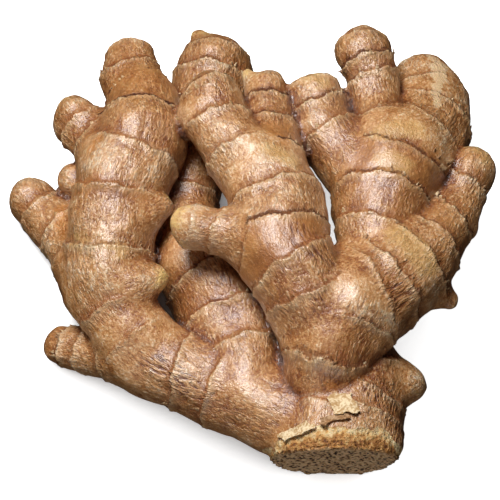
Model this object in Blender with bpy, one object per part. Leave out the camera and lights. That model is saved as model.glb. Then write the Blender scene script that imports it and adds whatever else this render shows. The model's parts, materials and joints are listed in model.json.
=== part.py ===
"""A fresh ginger root: one solid piece with a cut end, lying on a table.

The root is a tree of rounded fingers.  Each finger has an axis through a few points and a radius at each
point, read off the photograph and turned into real sizes.  Balls strung along the axes are fused into one
rough body, the body is drawn onto the exact skin of the fingers, which carries the leaf rings, and then it
is cut flat at the broken end and where it rests on the table.
"""
import math

import bmesh
import bpy
import numpy as np
from mathutils import Vector

# Everything is laid out in millimetres and made into metres when the mesh is finished.
MM = 0.001

# The middle of the finished root in the layout below, so that the origin is under the middle of its box.
MIDDLE = (-0.07, 8.55)

# name: (the finger it grows from, its axis points as (x, y, height, radius), the distances of its leaf
# rings from its root)
FINGERS = {
    "trunk": (None, [(30, -86, 23, 24.5), (31, -72.5, 23, 23.5), (34, -61, 23, 21.5), (36, -52.5, 24, 19),
                     (35.5, -45, 27, 15)], [19, 31, 42]),
    "crown": ("trunk", [(26.5, -52, 34, 15), (29, -43, 40, 16), (33, -31, 42, 18)], [6, 17]),
    "centre": ("crown", [(27, -36, 42, 16.5), (19.5, -24, 47, 16), (12, -10.5, 50, 15.5),
                         (10, 6.5, 48, 16.5), (6, 22.5, 45, 14.5)], [12, 25, 37, 51]),
    "centre_tip": ("centre", [(4.5, 16, 46, 13), (-4.5, 30, 45, 12), (-11.5, 45, 44, 11.5),
                              (-14, 54.5, 43, 11)], [17, 32, 47]),
    "centre_stub": ("centre", [(9, -8.5, 50, 12.5), (-7, -4, 50, 9.5), (-19, -2, 50, 8)], [10, 22, 32]),
    "centre_back": ("centre", [(9, 27, 44, 12), (8, 44, 40, 9.5), (6.5, 62, 37, 8)], [3, 17, 31]),
    "right": ("crown", [(35, -26.5, 42, 16.5), (44, -10.5, 40, 13.5), (46.5, 2.5, 38, 14),
                        (49.5, 17.5, 36, 18), (53, 33, 33, 19)], [7, 29, 44, 60]),
    "right_lump": ("right", [(56, 36, 31, 18.5), (66.5, 52, 22, 17), (71, 68, 13.5, 14)], [10, 26, 49]),
    "lump_top": ("right_lump", [(67, 59, 20, 14), (67, 75.5, 16, 12)], [11]),
    "right_top": ("right", [(50.5, 36.5, 34, 15), (48.5, 55.5, 34, 10), (46.5, 69.5, 34, 10),
                            (44, 80, 34, 11)], [15, 32, 40, 49]),
    "right_left": ("right", [(38, 31, 36, 13.5), (28.5, 45.5, 36, 11.5), (24, 59, 36, 10.5)], [14, 27, 37]),
    "shoot": ("crown", [(34, -28, 42, 17), (48, -18, 39, 18.5), (62, -4, 35, 15), (75, 14, 31, 10),
                        (84, 32, 30, 8)], [8, 18, 30, 41, 55, 73]),
    "low_left": ("trunk", [(19.5, -67, 25, 16), (3, -58.5, 24, 15), (-15, -50, 22, 14),
                           (-32, -42.5, 22, 13.5), (-43, -32, 24, 13)], [33, 50, 69]),
    "left_stub": ("low_left", [(-40, -41.5, 20, 11.5), (-56, -34.5, 13, 9.5), (-69, -29.5, 7, 8)],
                  [11, 23, 33]),
    "left": ("low_left", [(-36.5, -38, 22, 13), (-47.5, -24, 26, 13.5), (-52, -9, 30, 15.5),
                          (-51, 6, 33, 15.5), (-47.5, 22, 34, 16.5), (-42, 39, 33, 17.5),
                          (-41, 54, 31, 13.5), (-41.5, 62, 29, 12)], [21, 42, 62, 80, 97]),
    "left_tip": ("left", [(-41.5, 60, 28, 12), (-45.5, 72.5, 24, 12), (-47, 83.5, 22, 9.5)], [6, 19, 29]),
    "left_side": ("left", [(-55.5, -12.5, 24, 13.5), (-66.5, 7.5, 16, 11.5), (-77, 21.5, 11, 10.5),
                           (-82.5, 28.5, 9, 10)], [13, 30, 47]),
    "left_up": ("left", [(-48, 28.5, 33, 14), (-57, 42.5, 28, 11.5), (-65.5, 54, 25, 10.5)], [19, 30]),
    "back": ("low_left", [(0, -52, 24, 15), (-4.5, -32.5, 20, 16.5), (-11, -16, 18, 18.5),
                          (-19, 0.5, 16, 16)], [10, 29, 47]),
    "back_up": ("back", [(-20.5, -0.5, 18, 14), (-25.5, 20.5, 15, 13), (-23, 42.5, 14, 14),
                         (-18, 64.5, 14, 14.5), (-14.5, 83.5, 14, 15)], [28, 52, 67, 84, 95]),
    "bud_left": ("left", [(-41, -17, 35, 8.5), (-36, -16.5, 36, 6), (-32.5, -16, 36.5, 3)], []),
    "bump_left": ("left", [(-38, 10.5, 38, 7.5), (-33.5, 13, 38, 5.5)], []),
    "hidden_left": ("left", [(-58, 31.5, 18, 7.5), (-64, 33.5, 18, 7.5), (-67, 34.5, 18, 7.5)], []),
    "knob": ("trunk", [(47, -51, 26, 9.5), (54, -52.5, 25, 7.5), (57.5, -53, 24, 5)], []),
    "nub": ("shoot", [(64, -16, 32, 7.5), (72.5, -20.5, 30, 3.5)], []),
    "knob_right_left": ("right_left", [(22, 45, 36, 7.5), (16, 50, 36, 4.5)], []),
    "bump_back": ("back", [(-24.5, -1.5, 18, 8), (-30.5, -2, 22, 6)], []),
    "bud_back": ("centre_back", [(3, 62, 38, 5.5), (-1, 68.5, 38, 3)], []),
    "bud_centre_tip": ("centre_tip", [(-17, 46, 44, 7.5), (-22.5, 48, 43, 4)], []),
    "bud_stub": ("centre_stub", [(-20.5, -1, 51, 6), (-24, 1, 51, 3.5)], []),
    "bud_back_up": ("back_up", [(-17.5, 90, 16, 7), (-20, 97.5, 16, 3.5)], []),
    "shoot_spur": ("shoot", [(74, 9, 31, 7.5), (80.5, 6.5, 31, 3)], []),
}

# The broken end: a flat face across the trunk, leaning a little towards the table.
CUT_POINT = (31.0, -81.0, 23.0)
CUT_LEAN = math.radians(8.0)

# Leaf rings: a low lip, then a step down on the side towards the finger's tip.
RING_LIP = 0.75
RING_LIP_WIDTH = 2.6
RING_STEP = 0.75
RING_STEP_LENGTH = 6.0
RING_TILT = 1.6

# Broad unevenness of the skin.
LUMP_HEIGHT = 0.55
LUMP_LENGTHS = (17.0, 42.0)

# Fillet where a finger grows out of another one, as a share of its radius there, and where two only touch.
# A few fingers lie in a sharp crease against the one they grow from.
FILLET = 0.45
TOUCH_FILLET = 1.5
SHARP_FILLETS = {"low_left": 3.5, "back": 4.0, "crown": 4.0}

# How finely the skin is worked out: samples along an axis, the two remeshes and what is left after thinning.
AXIS_STEP = 0.8
ROUGH_SKIN = 1.5
FINE_SKIN = 1.25
TRIANGLES = 10400

# A finger shapes the skin only this near to it, and counts as this far away elsewhere.
REACH = 12.0
FAR = 1000.0

# Points this near to the table or to the broken end after thinning belong to its flat face.
FLAT_SLACK = 0.2


def axis_samples(points):
    """A smooth curve through the axis points: centres, radii, directions and distances along it."""
    knots = np.array(points, float)
    knots = np.vstack([2 * knots[0] - knots[1], knots, 2 * knots[-1] - knots[-2]])
    samples = []
    for p0, p1, p2, p3 in zip(knots, knots[1:], knots[2:], knots[3:]):
        count = max(2, int(math.ceil(np.linalg.norm((p2 - p1)[:3]) / AXIS_STEP)))
        for t in np.arange(count) / count:
            samples.append(0.5 * (2 * p1 + (p2 - p0) * t + (2 * p0 - 5 * p1 + 4 * p2 - p3) * t ** 2
                                  + (3 * p1 - p0 - 3 * p2 + p3) * t ** 3))
    samples = np.array(samples + [knots[-2]])
    centre, radius = samples[:, :3], samples[:, 3]
    direction = np.gradient(centre, axis=0)
    direction /= np.linalg.norm(direction, axis=1)[:, None]
    along = np.concatenate([[0.0], np.cumsum(np.linalg.norm(np.diff(centre, axis=0), axis=1))])
    return centre, radius, direction, along


def make_finger(order, name):
    """Everything that the skin of one finger is worked out from."""
    parent, points, rings = FINGERS[name]
    centre, radius, direction, along = axis_samples(points)
    up = np.array([0.0, 0.0, 1.0]) - direction * direction[:, 2:]
    up /= np.linalg.norm(up, axis=1)[:, None]
    phases = np.random.default_rng(100 + order).uniform(0, 2 * math.pi, (max(1, len(rings)), 2))
    return {"parent": parent, "centre": centre, "radius": radius, "direction": direction, "along": along,
            "up": up, "side": np.cross(direction, up), "rings": rings, "phases": phases,
            "fillet": SHARP_FILLETS.get(name, 1.5 + FILLET * points[0][3])}


def ring_height(finger, along, angle):
    """How far the skin stands over the plain finger because of its leaf rings."""
    height = np.zeros_like(along)
    for distance, phase in zip(finger["rings"], finger["phases"]):
        line = distance + RING_TILT * np.cos(angle + phase[0]) + 0.5 * np.cos(3 * angle + phase[1])
        past = along - line
        before = RING_LIP * np.exp(-(past / RING_LIP_WIDTH) ** 2)
        after = (RING_LIP + RING_STEP) * np.exp(-(past / 1.1) ** 2)
        after -= RING_STEP * np.exp(-past / RING_STEP_LENGTH)
        height += np.where(past < 0, before, np.maximum(after, -RING_STEP))
    return height


def lump_height(points):
    """Broad swells and hollows over the whole root, from a few long waves in set directions."""
    waves = np.random.default_rng(11)
    height = np.zeros(len(points))
    for _ in range(14):
        way = waves.normal(size=3)
        way *= 2 * math.pi / (waves.uniform(*LUMP_LENGTHS) * np.linalg.norm(way))
        height += np.cos(points @ way + waves.uniform(0, 2 * math.pi))
    return height * LUMP_HEIGHT / math.sqrt(7)


def finger_skin(finger, points):
    """Distance from the skin of one finger at each point, and the way it grows fastest."""
    centre, radius = finger["centre"], finger["radius"]
    apart = (points ** 2).sum(1)[:, None] - 2 * points @ centre.T + (centre ** 2).sum(1)[None]
    nearest = (np.sqrt(np.maximum(apart, 0.0)) - radius).argmin(1)
    offset = points - centre[nearest]
    length = np.linalg.norm(offset, axis=1) + 1e-9
    along = finger["along"][nearest] + (offset * finger["direction"][nearest]).sum(1)
    angle = np.arctan2((offset * finger["side"][nearest]).sum(1), (offset * finger["up"][nearest]).sum(1))
    value = length - radius[nearest] - ring_height(finger, along, angle)
    return value, offset / length[:, None]


def soft_union(value, way, other, other_way, width):
    """The nearer of two skins, with a fillet of about this width where they meet."""
    blend = np.maximum(width - np.abs(value - other), 0.0) / width
    share = np.where(value < other, 1 - blend / 2, blend / 2)[:, None]
    return np.minimum(value, other) - blend ** 2 * width / 4, way * share + other_way * (1 - share)


def root_skin(fingers, points):
    """Distance from the skin of the whole root at each point, and the way it grows fastest."""
    values, ways = {}, {}
    for name, finger in fingers.items():
        reach = finger["radius"].max() + REACH
        low = finger["centre"].min(0) - reach
        high = finger["centre"].max(0) + reach
        near = np.flatnonzero(((points > low) & (points < high)).all(1))
        values[name] = np.full(len(points), FAR)
        ways[name] = np.zeros_like(points)
        if len(near):
            values[name][near], ways[name][near] = finger_skin(finger, points[near])
    best = np.full(len(points), FAR)
    best_way = np.zeros_like(points)
    for name, finger in fingers.items():
        value, way = values[name], ways[name]
        if finger["parent"]:
            parent = finger["parent"]
            value, way = soft_union(value, way, values[parent], ways[parent], finger["fillet"])
        best, best_way = soft_union(value, way, best, best_way, TOUCH_FILLET)
    return best - lump_height(points), best_way


def draw_onto_skin(fingers, points, steps):
    """Move each point along the slope of the skin's distance until it lies on the skin."""
    for _ in range(steps):
        value, way = root_skin(fingers, points)
        slope = (way ** 2).sum(1) + 1e-6
        points = points - way * (np.clip(value, -3.0, 3.0) / np.maximum(slope, 0.3))[:, None]
    return points


def fused_balls(fingers):
    """One rough closed body: balls along every axis, fused together."""
    bm = bmesh.new()
    for finger in fingers.values():
        last = -10.0
        for centre, radius, along in zip(finger["centre"], finger["radius"], finger["along"]):
            if along - last >= radius * 0.3 or along == finger["along"][-1]:
                made = bmesh.ops.create_icosphere(bm, subdivisions=3, radius=radius)
                bmesh.ops.translate(bm, vec=Vector(centre), verts=made["verts"])
                last = along
    mesh = bpy.data.meshes.new("balls")
    bm.to_mesh(mesh)
    bm.free()
    return mesh


def with_modifier(mesh, kind, **settings):
    """The mesh after one modifier."""
    thing = bpy.data.objects.new("working", mesh)
    bpy.context.scene.collection.objects.link(thing)
    modifier = thing.modifiers.new("step", kind)
    for name, value in settings.items():
        setattr(modifier, name, value)
    bpy.context.view_layer.update()
    done = bpy.data.meshes.new_from_object(thing.evaluated_get(bpy.context.evaluated_depsgraph_get()))
    bpy.data.objects.remove(thing)
    return done


def positions(mesh):
    """The mesh's points as rows."""
    flat = np.empty(len(mesh.vertices) * 3)
    mesh.vertices.foreach_get("co", flat)
    return flat.reshape(-1, 3)


def place(mesh, points):
    """Put the mesh's points at these rows."""
    mesh.vertices.foreach_set("co", points.ravel())
    mesh.update()


def cut_plane():
    """A point on the broken end and its outward direction."""
    return np.array(CUT_POINT), np.array([0.0, -math.cos(CUT_LEAN), -math.sin(CUT_LEAN)])


def cut_flat(bm, point, outward):
    """Take off what lies past a plane and close the opening with a flat face."""
    everything = bm.verts[:] + bm.edges[:] + bm.faces[:]
    bmesh.ops.bisect_plane(bm, geom=everything, dist=1e-4, plane_co=point, plane_no=outward,
                           clear_outer=True)
    rim = [edge for edge in bm.edges if edge.is_boundary]
    closed = bmesh.ops.holes_fill(bm, edges=rim, sides=0)
    bmesh.ops.triangulate(bm, faces=closed["faces"])


def settle_flats(points):
    """Points within a hair of the table or of the broken end are put exactly on it."""
    low = points[:, 2] < FLAT_SLACK
    points[low, 2] = 0.0
    point, outward = cut_plane()
    past = (points - point) @ outward
    near = (np.abs(past) < FLAT_SLACK) & ~low
    points[near] -= past[near][:, None] * outward
    return points


def ginger_mesh():
    """The finished root in metres."""
    fingers = {name: make_finger(order, name) for order, name in enumerate(FINGERS)}

    body = with_modifier(fused_balls(fingers), "REMESH", mode="VOXEL", voxel_size=ROUGH_SKIN)
    place(body, draw_onto_skin(fingers, positions(body), 8))
    body = with_modifier(body, "REMESH", mode="VOXEL", voxel_size=FINE_SKIN)
    place(body, draw_onto_skin(fingers, positions(body), 3))
    body = with_modifier(body, "SMOOTH", factor=0.5, iterations=3)
    place(body, draw_onto_skin(fingers, positions(body), 2))

    bm = bmesh.new()
    bm.from_mesh(body)
    point, outward = cut_plane()
    cut_flat(bm, Vector(point), Vector(outward))
    cut_flat(bm, Vector((0, 0, 0)), Vector((0, 0, -1)))
    bmesh.ops.triangulate(bm, faces=bm.faces[:])
    share = TRIANGLES / len(bm.faces)
    bm.to_mesh(body)
    bm.free()

    body = with_modifier(body, "DECIMATE", ratio=share, use_collapse_triangulate=True)
    points = settle_flats(positions(body))
    low, high = points.min(0), points.max(0)
    print("box in the layout, mm:", low.round(2), high.round(2), "middle", ((low + high) / 2).round(2))
    points -= np.array([MIDDLE[0], MIDDLE[1], 0.0])
    place(body, points * MM)

    bm = bmesh.new()
    bm.from_mesh(body)
    bmesh.ops.dissolve_degenerate(bm, dist=0.00002, edges=bm.edges[:])
    bmesh.ops.triangulate(bm, faces=bm.faces[:])
    bmesh.ops.recalc_face_normals(bm, faces=bm.faces[:])
    loose = sum(1 for edge in bm.edges if not edge.is_manifold)
    print("triangles", len(bm.faces), "open edges", loose, "volume cm3", round(bm.calc_volume() * 1e6, 1))
    bm.to_mesh(body)
    bm.free()
    return body


def skin_material():
    """The dry buff skin of a fresh root."""
    material = bpy.data.materials.new("rhizome_skin")
    material.use_nodes = True
    shader = material.node_tree.nodes["Principled BSDF"]
    shader.inputs["Base Color"].default_value = (0.515, 0.262, 0.114, 1.0)
    shader.inputs["Roughness"].default_value = 0.5
    return material


for leftover in list(bpy.data.objects):
    bpy.data.objects.remove(leftover)

root = bpy.data.objects.new("ginger_root", ginger_mesh())
root.data.name = "ginger_root"
root.data.materials.append(skin_material())
bpy.context.scene.collection.objects.link(root)
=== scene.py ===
# %% [markdown]
# # A fresh ginger root, lying on a white table
#
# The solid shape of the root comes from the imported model, where it is one closed body. This file gives that
# body its looks: a thin dry skin with leaf rings, wrinkles and frayed scales, a few flakes of bark by the
# broken end, and the bare fibrous flesh of the break itself.
# The model could simply get a brown material, but the real skin changes from ring to ring and its grain runs
# along every finger, so most of the work here is to find out, for each point, on which finger it lies.

# %% Load the frame
import json
import math

import bpy
import numpy as np
from mathutils import Matrix, Vector, noise
from mathutils.bvhtree import BVHTree

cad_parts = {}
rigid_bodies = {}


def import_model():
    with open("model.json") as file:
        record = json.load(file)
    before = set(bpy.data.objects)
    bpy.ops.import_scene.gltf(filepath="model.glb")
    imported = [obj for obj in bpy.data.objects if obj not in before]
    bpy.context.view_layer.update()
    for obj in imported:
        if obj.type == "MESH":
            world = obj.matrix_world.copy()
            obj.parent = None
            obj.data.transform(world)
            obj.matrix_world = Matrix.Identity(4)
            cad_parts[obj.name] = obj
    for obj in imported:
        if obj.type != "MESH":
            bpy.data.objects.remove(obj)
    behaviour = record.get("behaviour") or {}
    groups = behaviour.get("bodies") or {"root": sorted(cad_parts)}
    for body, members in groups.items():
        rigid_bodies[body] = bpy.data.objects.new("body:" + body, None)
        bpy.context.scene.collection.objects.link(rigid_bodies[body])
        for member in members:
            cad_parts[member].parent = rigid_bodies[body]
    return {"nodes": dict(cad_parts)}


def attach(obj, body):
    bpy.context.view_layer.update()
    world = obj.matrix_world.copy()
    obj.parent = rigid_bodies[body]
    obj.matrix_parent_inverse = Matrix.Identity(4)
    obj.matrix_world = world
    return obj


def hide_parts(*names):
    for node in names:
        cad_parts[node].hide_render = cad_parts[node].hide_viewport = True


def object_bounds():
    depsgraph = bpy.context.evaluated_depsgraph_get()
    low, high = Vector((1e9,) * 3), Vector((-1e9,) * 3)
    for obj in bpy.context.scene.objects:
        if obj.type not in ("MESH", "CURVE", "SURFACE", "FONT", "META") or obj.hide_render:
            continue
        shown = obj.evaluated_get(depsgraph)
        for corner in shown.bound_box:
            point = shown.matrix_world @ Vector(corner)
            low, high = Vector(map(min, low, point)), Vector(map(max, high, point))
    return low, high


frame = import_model()
cad_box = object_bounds()
MM = 0.001
for thing in bpy.data.objects:
    thing.select_set(False)
print("solid box, mm:", [round(side / MM, 1) for side in (*cad_box[0], *cad_box[1])])

# %% [markdown]
# ## The fingers
#
# A ginger root is a tree of thick fingers, and each grew as a row of short sections with a leaf ring between
# them. The solid was laid out from such a tree, so the same points are used here: every finger has an axis
# with a thickness at each point, and the distances of its rings from its root.
# They could be found again from the mesh, but the layout is exact and short. Its last entry is new and only
# for the looks: the tone of the skin from each distance onwards, from -1, smooth and orange brown, to 1, dry
# and pale.

# %% The layout in millimetres
MIDDLE = np.array([-0.07, 8.55, 0.0])
FINGERS = {
    "trunk": (None, [(30, -86, 23, 24.5), (31, -72.5, 23, 23.5), (34, -61, 23, 21.5), (36, -52.5, 24, 19),
                     (35.5, -45, 27, 15)], [19, 31, 42], [(0, 0.0), (31, 0.2), (42, -0.2)]),
    "crown": ("trunk", [(26.5, -52, 34, 15), (29, -43, 40, 16), (33, -31, 42, 18)], [6, 17],
              [(0, -0.2), (17, 0.4)]),
    "centre": ("crown", [(27, -36, 42, 16.5), (19.5, -24, 47, 16), (12, -10.5, 50, 15.5),
                         (10, 6.5, 48, 16.5), (6, 22.5, 45, 14.5)], [12, 25, 37, 51],
               [(0, 0.2), (12, -0.1), (25, -0.8), (37, 0.3), (51, 0.5)]),
    "centre_tip": ("centre", [(4.5, 16, 46, 13), (-4.5, 30, 45, 12), (-11.5, 45, 44, 11.5),
                              (-14, 54.5, 43, 11)], [17, 32, 47], [(0, 0.4), (32, 0.1)]),
    "centre_stub": ("centre", [(9, -8.5, 50, 12.5), (-7, -4, 50, 9.5), (-19, -2, 50, 8)], [10, 22, 32],
                    [(0, 0.1), (10, 0.4)]),
    "centre_back": ("centre", [(9, 27, 44, 12), (8, 44, 40, 9.5), (6.5, 62, 37, 8)], [3, 17, 31],
                    [(0, 0.3), (3, -0.6), (12, 0.0)]),
    "right": ("crown", [(35, -26.5, 42, 16.5), (44, -10.5, 40, 13.5), (46.5, 2.5, 38, 14),
                        (49.5, 17.5, 36, 18), (53, 33, 33, 19)], [7, 29, 44, 60],
              [(0, 0.2), (29, -0.4), (44, -0.9), (60, 0.2)]),
    "right_lump": ("right", [(56, 36, 31, 18.5), (66.5, 52, 22, 17), (71, 68, 13.5, 14)], [10, 26, 49],
                   [(0, 0.2), (49, 0.1)]),
    "lump_top": ("right_lump", [(67, 59, 20, 14), (67, 75.5, 16, 12)], [11], [(0, 0.2)]),
    "right_top": ("right", [(50.5, 36.5, 34, 15), (48.5, 55.5, 34, 10), (46.5, 69.5, 34, 10),
                            (44, 80, 34, 11)], [15, 32, 40, 49], [(0, 0.2), (32, 0.0), (49, 0.1)]),
    "right_left": ("right", [(38, 31, 36, 13.5), (28.5, 45.5, 36, 11.5), (24, 59, 36, 10.5)], [14, 27, 37],
                   [(0, -0.2), (14, 0.1), (27, 0.4), (37, 0.1)]),
    "shoot": ("crown", [(34, -28, 42, 17), (48, -18, 39, 18.5), (62, -4, 35, 15), (75, 14, 31, 10),
                        (84, 32, 30, 8)], [8, 18, 30, 41, 55, 73],
              [(0, 0.2), (18, 0.4), (30, 0.2), (41, -0.3), (55, 0.0), (73, 0.1)]),
    "low_left": ("trunk", [(19.5, -67, 25, 16), (3, -58.5, 24, 15), (-15, -50, 22, 14),
                           (-32, -42.5, 22, 13.5), (-43, -32, 24, 13)], [33, 50, 69],
                 [(0, 0.0), (33, 0.1), (69, 0.0)]),
    "left_stub": ("low_left", [(-40, -41.5, 20, 11.5), (-56, -34.5, 13, 9.5), (-69, -29.5, 7, 8)],
                  [11, 23, 33], [(0, 0.0), (11, 0.2), (33, -0.5)]),
    "left": ("low_left", [(-36.5, -38, 22, 13), (-47.5, -24, 26, 13.5), (-52, -9, 30, 15.5),
                          (-51, 6, 33, 15.5), (-47.5, 22, 34, 16.5), (-42, 39, 33, 17.5),
                          (-41, 54, 31, 13.5), (-41.5, 62, 29, 12)], [21, 42, 62, 80, 97],
             [(0, 0.1), (21, 0.4), (42, 0.2), (56.5, -0.6), (62, 0.5), (80, -0.1), (97, -0.4)]),
    "left_tip": ("left", [(-41.5, 60, 28, 12), (-45.5, 72.5, 24, 12), (-47, 83.5, 22, 9.5)], [6, 19, 29],
                 [(0, -0.3), (19, -0.2)]),
    "left_side": ("left", [(-55.5, -12.5, 24, 13.5), (-66.5, 7.5, 16, 11.5), (-77, 21.5, 11, 10.5),
                           (-82.5, 28.5, 9, 10)], [13, 30, 47], [(0, -0.4), (13, 0.2), (47, 0.1)]),
    "left_up": ("left", [(-48, 28.5, 33, 14), (-57, 42.5, 28, 11.5), (-65.5, 54, 25, 10.5)], [19, 30],
                [(0, -0.1), (19, 0.1)]),
    "back": ("low_left", [(0, -52, 24, 15), (-4.5, -32.5, 20, 16.5), (-11, -16, 18, 18.5),
                          (-19, 0.5, 16, 16)], [10, 29, 47], [(0, 0.1), (29, -0.3), (47, -0.2)]),
    "back_up": ("back", [(-20.5, -0.5, 18, 14), (-25.5, 20.5, 15, 13), (-23, 42.5, 14, 14),
                         (-18, 64.5, 14, 14.5), (-14.5, 83.5, 14, 15)], [28, 52, 67, 84, 95],
                [(0, -0.2), (52, -0.1)]),
    "bud_left": ("left", [(-41, -17, 35, 8.5), (-36, -16.5, 36, 6), (-32.5, -16, 36.5, 3)], [], [(0, 0.0)]),
    "bump_left": ("left", [(-38, 10.5, 38, 7.5), (-33.5, 13, 38, 5.5)], [], [(0, 0.1)]),
    "hidden_left": ("left", [(-58, 31.5, 18, 7.5), (-64, 33.5, 18, 7.5), (-67, 34.5, 18, 7.5)], [],
                    [(0, 0.1)]),
    "knob": ("trunk", [(47, -51, 26, 9.5), (54, -52.5, 25, 7.5), (57.5, -53, 24, 5)], [], [(0, 0.2)]),
    "nub": ("shoot", [(64, -16, 32, 7.5), (72.5, -20.5, 30, 3.5)], [], [(0, 0.0)]),
    "knob_right_left": ("right_left", [(22, 45, 36, 7.5), (16, 50, 36, 4.5)], [], [(0, 0.0)]),
    "bump_back": ("back", [(-24.5, -1.5, 18, 8), (-30.5, -2, 22, 6)], [], [(0, -0.2)]),
    "bud_back": ("centre_back", [(3, 62, 38, 5.5), (-1, 68.5, 38, 3)], [], [(0, 0.2)]),
    "bud_centre_tip": ("centre_tip", [(-17, 46, 44, 7.5), (-22.5, 48, 43, 4)], [], [(0, 0.3)]),
    "bud_stub": ("centre_stub", [(-20.5, -1, 51, 6), (-24, 1, 51, 3.5)], [], [(0, 0.4)]),
    "bud_back_up": ("back_up", [(-17.5, 90, 16, 7), (-20, 97.5, 16, 3.5)], [], [(0, 0.0)]),
    "shoot_spur": ("shoot", [(74, 9, 31, 7.5), (80.5, 6.5, 31, 3)], [], [(0, -0.1)]),
}
print(len(FINGERS), "fingers,", sum(len(entry[2]) for entry in FINGERS.values()), "leaf rings")

# %% [markdown]
# ## The exact skin
#
# Remeshing the solid finely would keep its facets. Instead a formula says how far any point is from the true
# skin, the same one that shaped the solid, and each point of a fine mesh is drawn onto it. The formula takes
# the nearest finger, stands up a low lip at each leaf ring with a step down behind it, and rounds the crease
# where one finger grows out of another.

# %% Axis of a finger
CUT_POINT = np.array([31.0, -81.0, 23.0])
CUT_LEAN = math.radians(8.0)
CUT_OUTWARD = np.array([0.0, -math.cos(CUT_LEAN), -math.sin(CUT_LEAN)])
RING_LIP, RING_LIP_WIDTH, RING_LIP_BACK = 0.42, 1.6, 1.1
RING_STEP, RING_STEP_LENGTH = 0.60, 5.0
RING_TILT = 1.6
LUMP_HEIGHT, LUMP_LENGTHS, LUMP_WAVES = 0.55, (17.0, 42.0), 14
FILLET, TOUCH_FILLET = 0.45, 1.5
SHARP_FILLETS = {"low_left": 3.5, "back": 4.0, "crown": 4.0}
AXIS_STEP = 0.8
REACH, FAR = 12.0, 1000.0


def axis_samples(points):
    """A smooth curve through the axis points: centres, radii, directions and distances along it."""
    knots = np.array(points, float)
    knots = np.vstack([2 * knots[0] - knots[1], knots, 2 * knots[-1] - knots[-2]])
    samples = []
    for p0, p1, p2, p3 in zip(knots, knots[1:], knots[2:], knots[3:]):
        count = max(2, int(math.ceil(np.linalg.norm((p2 - p1)[:3]) / AXIS_STEP)))
        for t in np.arange(count) / count:
            samples.append(0.5 * (2 * p1 + (p2 - p0) * t + (2 * p0 - 5 * p1 + 4 * p2 - p3) * t ** 2
                                  + (3 * p1 - p0 - 3 * p2 + p3) * t ** 3))
    samples = np.array(samples + [knots[-2]])
    centre, radius = samples[:, :3], samples[:, 3]
    direction = np.gradient(centre, axis=0)
    direction /= np.linalg.norm(direction, axis=1)[:, None]
    along = np.concatenate([[0.0], np.cumsum(np.linalg.norm(np.diff(centre, axis=0), axis=1))])
    return centre, radius, direction, along


def make_finger(order, name):
    """Everything that the skin of one finger is worked out from."""
    parent, points, rings, tones = FINGERS[name]
    centre, radius, direction, along = axis_samples(points)
    up = np.array([0.0, 0.0, 1.0]) - direction * direction[:, 2:]
    up /= np.linalg.norm(up, axis=1)[:, None]
    phases = np.random.default_rng(100 + order).uniform(0, 2 * math.pi, (max(1, len(rings)), 2))
    return {"parent": parent, "centre": centre, "radius": radius, "direction": direction, "along": along,
            "up": up, "side": np.cross(direction, up), "rings": rings, "phases": phases, "tones": tones,
            "fillet": SHARP_FILLETS.get(name, 1.5 + FILLET * points[0][3])}


fingers = {name: make_finger(order, name) for order, name in enumerate(FINGERS)}
print("longest axis, mm:", round(max(finger["along"][-1] for finger in fingers.values()), 1))

# %% Rings, swells and the whole skin
RING_WAVER = 0.35


def ring_line(finger, number, angle):
    """Where a leaf ring runs at each angle round its finger, as a distance from the finger's root."""
    first, second = finger["phases"][number]
    line = finger["rings"][number] + RING_TILT * np.cos(angle + first) + 0.5 * np.cos(3 * angle + second)
    return line + RING_WAVER * (np.cos(7 * angle + 2 * first) + 0.7 * np.cos(12 * angle + 3 * second))


def ring_height(finger, along, angle):
    """How far the skin stands over the plain finger because of its leaf rings."""
    height = np.zeros_like(along)
    for number in range(len(finger["rings"])):
        past = along - ring_line(finger, number, angle)
        before = RING_LIP * np.exp(-(past / RING_LIP_WIDTH) ** 2)
        after = (RING_LIP + RING_STEP) * np.exp(-(past / RING_LIP_BACK) ** 2)
        after -= RING_STEP * np.exp(-past / RING_STEP_LENGTH)
        height += np.where(past < 0, before, np.maximum(after, -RING_STEP))
    return height


def lump_height(points):
    """Broad swells and hollows over the whole root, from a few long waves in set directions."""
    waves = np.random.default_rng(11)
    height = np.zeros(len(points))
    for _ in range(LUMP_WAVES):
        way = waves.normal(size=3)
        way *= 2 * math.pi / (waves.uniform(*LUMP_LENGTHS) * np.linalg.norm(way))
        height += np.cos(points @ way + waves.uniform(0, 2 * math.pi))
    return height * LUMP_HEIGHT / math.sqrt(LUMP_WAVES / 2)


def on_finger(finger, points):
    """Each point in a finger's own terms: offset from the axis, distance along it, angle and radius."""
    centre, radius = finger["centre"], finger["radius"]
    apart = (points ** 2).sum(1)[:, None] - 2 * points @ centre.T + (centre ** 2).sum(1)[None]
    nearest = (np.sqrt(np.maximum(apart, 0.0)) - radius).argmin(1)
    offset = points - centre[nearest]
    along = finger["along"][nearest] + (offset * finger["direction"][nearest]).sum(1)
    across = (offset * finger["side"][nearest]).sum(1)
    above = (offset * finger["up"][nearest]).sum(1)
    return offset, along, across, above, radius[nearest]


def soft_union(value, way, other, other_way, width):
    """The nearer of two skins, with a fillet of about this width where they meet."""
    blend = np.maximum(width - np.abs(value - other), 0.0) / width
    share = np.where(value < other, 1 - blend / 2, blend / 2)[:, None]
    return np.minimum(value, other) - blend ** 2 * width / 4, way * share + other_way * (1 - share)


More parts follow.
